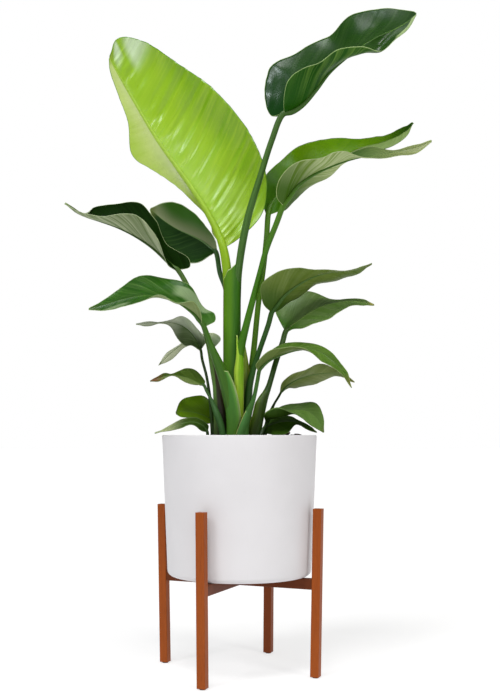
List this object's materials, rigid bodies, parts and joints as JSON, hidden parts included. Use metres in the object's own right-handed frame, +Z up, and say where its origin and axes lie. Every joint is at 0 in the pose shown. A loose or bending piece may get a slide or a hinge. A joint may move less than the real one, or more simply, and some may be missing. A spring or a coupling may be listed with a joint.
{
  "type": "potted bird of paradise",
  "caption": "Potted bird of paradise with broad leaves on long stalks, set in soil in a plain white pot that rests on a low wooden cross stand.",
  "frame": {"origin": "middle of the footprint of the bounding box, on the floor the stand's glides stand on", "axes": "+Z up, +X to the right and -Y towards the viewer in the plant's front view"},
  "size_m": [0.7188, 0.3306, 1.3173],
  "materials": {
    "leaf_new": "young lime-green leaf, satin to glossy, pleated by its side veins",
    "leaf_dark": "mature dark green leaf, glossy above and dull grey-green below, pale margin",
    "stalk": "smooth green leaf stalk, satin",
    "soil": "dark crumbly potting soil, matt",
    "pot": "white ceramic, satin matt",
    "wood": "orange-brown stained and lacquered hardwood, satin",
    "dowel": "plain beech, matt",
    "glide": "black rubber, matt"
  },
  "bodies": {
    "root": {"leaf_tall_new": "leaf_new", "leaf_top_right": "leaf_dark", "leaf_right_upper": "leaf_dark", "leaf_right_rear": "leaf_dark", "leaf_left_upper": "leaf_dark", "leaf_left_rear": "leaf_dark", "leaf_left_front": "leaf_dark", "leaf_right_dull": "leaf_dark", "leaf_right_bright": "leaf_dark", "leaf_arching": "leaf_dark", "leaf_right_small": "leaf_dark", "leaf_right_low": "leaf_dark", "leaf_right_lowest": "leaf_dark", "leaf_left_grey": "leaf_dark", "leaf_left_pale": "leaf_dark", "leaf_left_thin": "leaf_dark", "leaf_left_round": "leaf_dark", "leaf_left_lowest": "leaf_dark", "stalk_tall_new": "stalk", "stalk_top_right": "stalk", "stalk_right_upper": "stalk", "stalk_right_rear": "stalk", "stalk_left_upper": "stalk", "stalk_left_rear": "stalk", "stalk_left_front": "stalk", "stalk_right_dull": "stalk", "stalk_right_bright": "stalk", "stalk_arching": "stalk", "stalk_right_small": "stalk", "stalk_right_low": "stalk", "stalk_right_lowest": "stalk", "stalk_left_grey": "stalk", "stalk_left_pale": "stalk", "stalk_left_thin": "stalk", "stalk_left_round": "stalk", "stalk_left_lowest": "stalk", "soil": "soil", "pot": "pot", "leg_front": "wood", "leg_right": "wood", "leg_back": "wood", "leg_left": "wood", "rail_upper": "wood", "rail_lower": "wood", "dowel_front": "dowel", "dowel_right": "dowel", "dowel_back": "dowel", "dowel_left": "dowel", "glide_front": "glide", "glide_right": "glide", "glide_back": "glide", "glide_left": "glide"}
  },
  "joints": []
}
